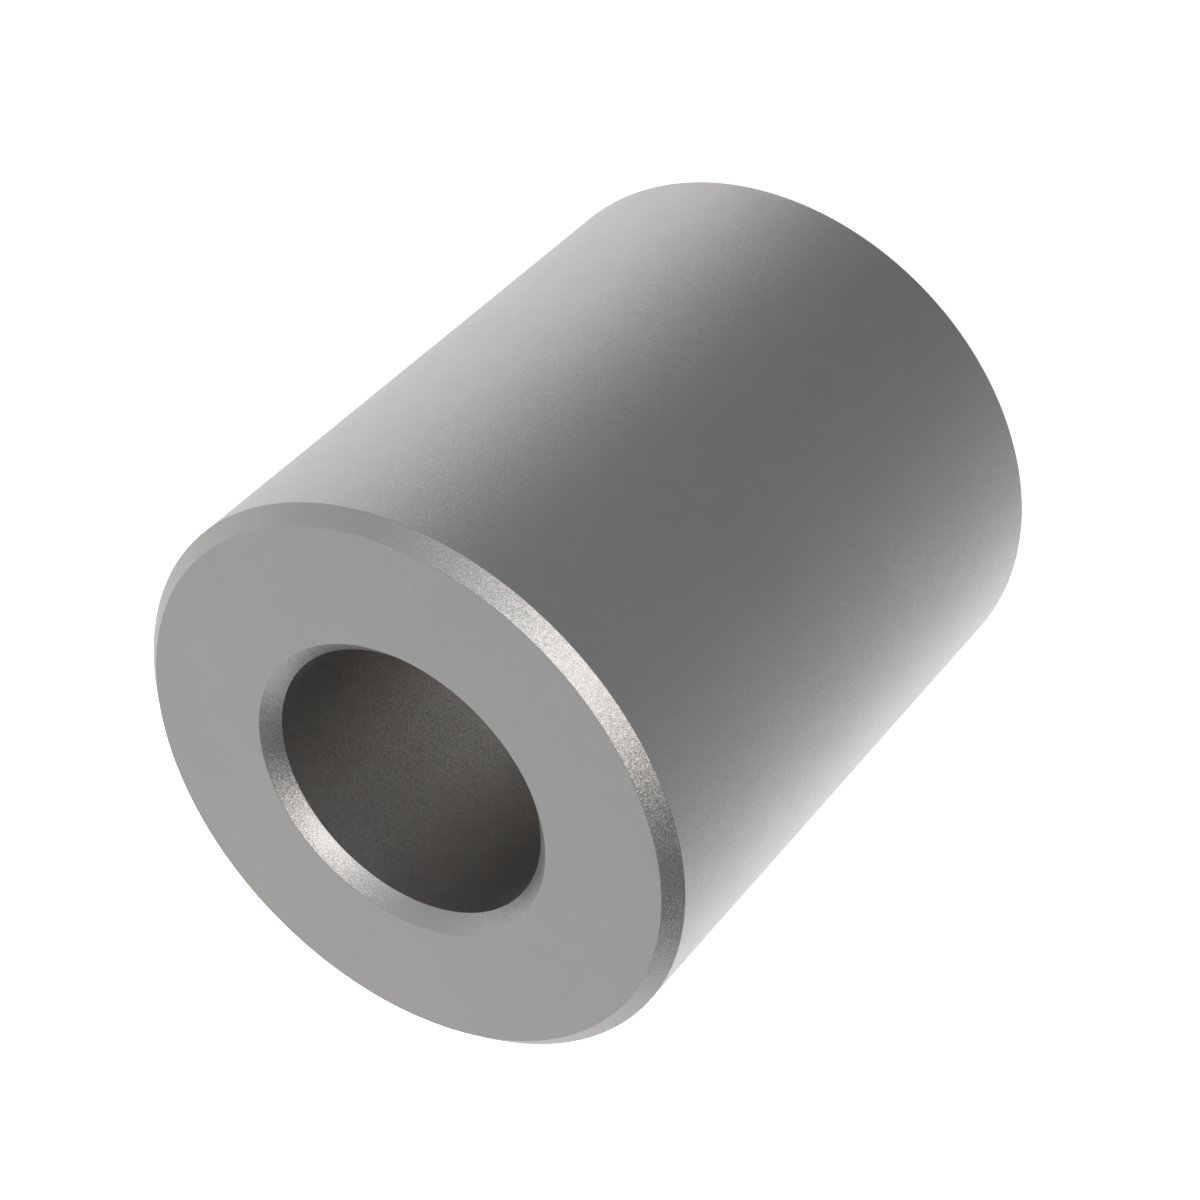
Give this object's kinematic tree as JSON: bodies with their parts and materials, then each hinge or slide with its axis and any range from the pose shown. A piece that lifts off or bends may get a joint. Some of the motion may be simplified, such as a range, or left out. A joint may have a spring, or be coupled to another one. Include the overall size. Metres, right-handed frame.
{
  "type": "bushing",
  "caption": "Plain thick-walled steel sleeve bushing, bored straight through, with a chamfer round the outside and round the bore at each end.",
  "frame": {"origin": "centre of the lower end face, on the bore axis", "axes": "+Z along the bore axis, from the lower end face to the upper one; the sleeve is round, so X and Y are any two directions across it"},
  "size_m": [0.039, 0.039, 0.045],
  "materials": {
    "satin_steel": "satin, fine blasted grain"
  },
  "bodies": {
    "root": {"bushing": "satin_steel"}
  },
  "joints": []
}
